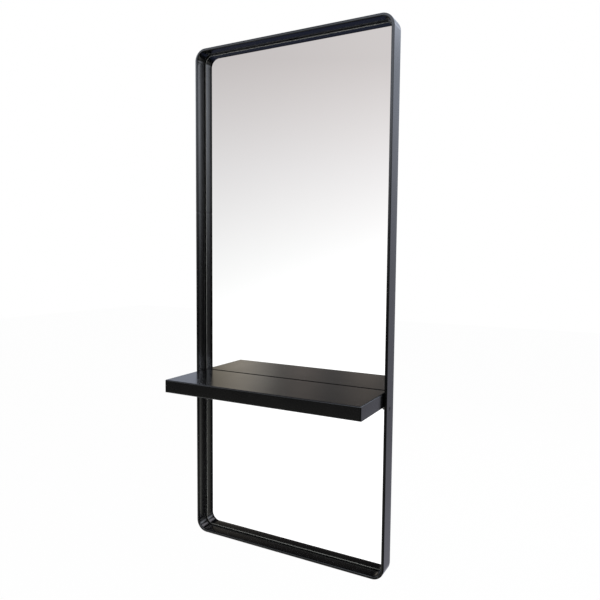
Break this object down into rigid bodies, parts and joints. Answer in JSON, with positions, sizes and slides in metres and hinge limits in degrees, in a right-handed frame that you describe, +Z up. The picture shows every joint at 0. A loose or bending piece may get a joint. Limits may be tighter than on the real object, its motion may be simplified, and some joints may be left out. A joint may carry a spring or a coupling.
{
  "type": "wall mirror with shelf",
  "caption": "Tall wall mirror set back in a deep thin black steel hoop with round corners, with a folded steel shelf across its lower third.",
  "frame": {"origin": "on the wall plane, at the middle of the wall rail's face that lies on the wall", "axes": "+X to the right seen from the front, +Y into the wall, +Z up; the mirror faces -Y"},
  "size_m": [0.505, 0.1685, 1.2],
  "materials": {
    "black_coat": "satin black powder coat",
    "mirror_silver": "silvered glass with a ground arris",
    "zinc_steel": "bright zinc plate",
    "dark_zinc": "black zinc plate",
    "foam": "white foam tape",
    "rubber": "black rubber"
  },
  "bodies": {
    "root": {"frame_hoop": "black_coat", "mirror_glass": "mirror_silver", "panel_lug_1": "black_coat", "panel_lug_2": "black_coat", "panel_lug_3": "black_coat", "panel_lug_4": "black_coat", "panel_lug_5": "black_coat", "panel_lug_6": "black_coat", "panel_lug_7": "black_coat", "panel_lug_8": "black_coat", "hanging_cleat": "zinc_steel", "cleat_rivet_1": "zinc_steel", "cleat_rivet_2": "zinc_steel", "cleat_rivet_3": "zinc_steel", "cleat_rivet_4": "zinc_steel", "wall_rail": "zinc_steel", "back_panel": "zinc_steel", "lug_screw_1": "dark_zinc", "lug_screw_2": "dark_zinc", "lug_screw_3": "dark_zinc", "lug_screw_4": "dark_zinc", "lug_screw_5": "dark_zinc", "lug_screw_6": "dark_zinc", "lug_screw_7": "dark_zinc", "lug_screw_8": "dark_zinc", "glass_tape_1": "foam", "glass_tape_2": "foam", "glass_tape_3": "foam", "glass_tape_4": "foam", "wall_pad_left": "rubber", "wall_pad_right": "rubber", "shelf_tray": "black_coat", "shelf_arm_left": "black_coat", "shelf_arm_right": "black_coat", "arm_bolt_left": "dark_zinc", "arm_bolt_right": "dark_zinc", "arm_nut_left": "zinc_steel", "arm_nut_right": "zinc_steel", "arm_dowel_left": "zinc_steel", "arm_dowel_right": "zinc_steel", "shelf_stud_1": "zinc_steel", "shelf_stud_2": "zinc_steel", "shelf_stud_3": "zinc_steel", "shelf_stud_4": "zinc_steel", "stud_nut_1": "zinc_steel", "stud_nut_2": "zinc_steel", "stud_nut_3": "zinc_steel", "stud_nut_4": "zinc_steel", "shelf_stiffener": "black_coat"}
  },
  "joints": []
}
